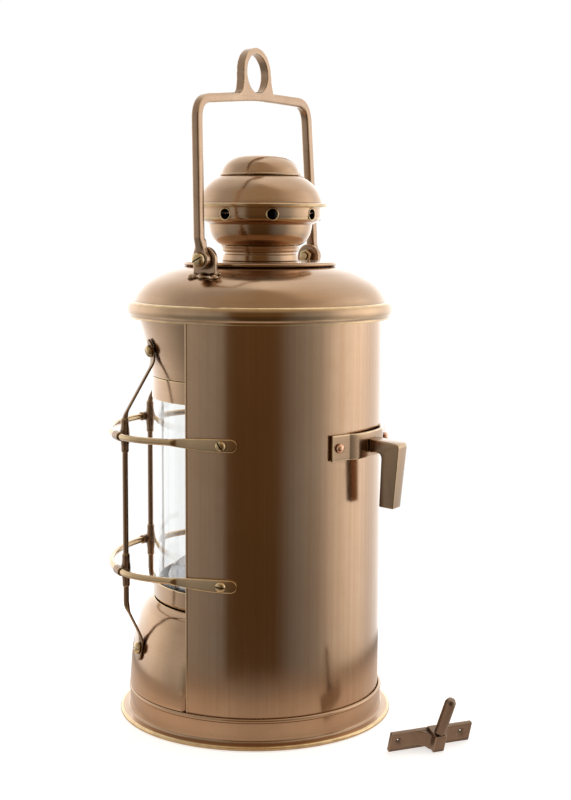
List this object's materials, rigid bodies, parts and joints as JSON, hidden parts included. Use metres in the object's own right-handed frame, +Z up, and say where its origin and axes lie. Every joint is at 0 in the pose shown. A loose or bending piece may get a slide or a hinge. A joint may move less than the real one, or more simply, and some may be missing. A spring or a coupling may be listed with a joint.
{
  "type": "wall lantern",
  "caption": "Upright brass oil lantern with a clear guarded glass front, half-round metal back, domed vented top, swinging bail, back hanger arm and a separate wall bracket.",
  "frame": {"origin": "centre of the base's underside, on the lantern's axis", "axes": "+Z up the lantern's axis, -Y out of the glass front, +Y towards the wall; the bail pivots on a line along X"},
  "size_m": [0.1895, 0.2635, 0.4496],
  "materials": {
    "antique_brass": "satin aged brass under clear lacquer",
    "bright_brass": "satin brass, lightly worn",
    "dark_brass": "dull dark cast brass",
    "copper": "satin copper",
    "tin_plate": "dull tin plate",
    "clear_glass": "clear, smooth",
    "cotton": "woven cotton wick"
  },
  "bodies": {
    "base": {"base_pan": "antique_brass", "fount": "tin_plate", "burner_collar": "bright_brass", "burner_body": "bright_brass", "burner_cone": "bright_brass", "wick_tube": "bright_brass"},
    "filler_cap": {"filler_cap": "bright_brass"},
    "wick_knob": {"wick_knob": "bright_brass"},
    "wick": {"wick": "cotton"},
    "lantern": {"lower_skirt": "antique_brass", "lower_glass_ring": "antique_brass", "glass": "clear_glass", "upper_glass_ring": "antique_brass", "upper_skirt": "antique_brass", "casing": "antique_brass", "top_dome": "antique_brass", "top_flange": "antique_brass", "vent_neck": "antique_brass", "inner_flue": "antique_brass", "vent_bowl": "antique_brass", "vent_cap": "antique_brass", "vent_crown": "antique_brass", "bail_ear_right": "antique_brass", "bail_ear_left": "antique_brass", "pivot_screw_right": "bright_brass", "pivot_screw_left": "bright_brass", "pivot_nut_right": "bright_brass", "pivot_nut_left": "bright_brass", "guard_rail_upper": "antique_brass", "guard_rail_lower": "antique_brass", "guard_bar_front": "antique_brass", "guard_bar_right": "antique_brass", "guard_bar_left": "antique_brass", "guard_cross_front_upper": "antique_brass", "guard_cross_front_lower": "antique_brass", "guard_cross_right_upper": "antique_brass", "guard_cross_right_lower": "antique_brass", "guard_cross_left_upper": "antique_brass", "guard_cross_left_lower": "antique_brass", "rail_screw_1": "bright_brass", "rail_screw_2": "bright_brass", "rail_screw_3": "bright_brass", "rail_screw_4": "bright_brass", "bar_screw_1": "bright_brass", "bar_screw_2": "bright_brass", "bar_screw_3": "bright_brass", "bar_screw_4": "bright_brass", "bar_screw_5": "bright_brass", "bar_screw_6": "bright_brass", "hanger_strap": "antique_brass", "hanger_arm": "antique_brass", "strap_rivet_1": "copper", "strap_rivet_2": "copper"},
    "bail": {"bail": "antique_brass"},
    "wall_bracket": {"wall_plate": "dark_brass", "wall_pin": "dark_brass"}
  },
  "joints": [
    {"name": "lantern_lift", "type": "slide", "parent": "base", "child": "lantern", "axis": [0, 0, 1], "range_m": [0, 0.18]},
    {"name": "bail_swing", "type": "hinge", "parent": "lantern", "child": "bail", "pos_m": [-0.0013, 0.002, 0.311], "axis": [1, 0, 0], "range_deg": [-110, 105]},
    {"name": "wick_knob_turn", "type": "hinge", "parent": "base", "child": "wick_knob", "pos_m": [0, 0, 0.1145], "axis": [1, 0, 0], "range_deg": [-170, 225]},
    {"name": "wick_raise", "type": "slide", "parent": "base", "child": "wick", "axis": [0, 0, 1], "range_m": [-0.006, 0.008]},
    {"name": "filler_cap_turn", "type": "hinge", "parent": "base", "child": "filler_cap", "pos_m": [-0.027, 0.027, 0.1065], "axis": [0, 0, 1], "range_deg": [0, 540]},
    {"name": "wall_bracket_lift", "type": "slide", "parent": "base", "child": "wall_bracket", "axis": [0, 0, 1], "range_m": [0, 0.06]}
  ],
  "couplings": [
    {"joint": "wick_raise", "follows": "wick_knob_turn", "m_per_rad": 0.002}
  ]
}
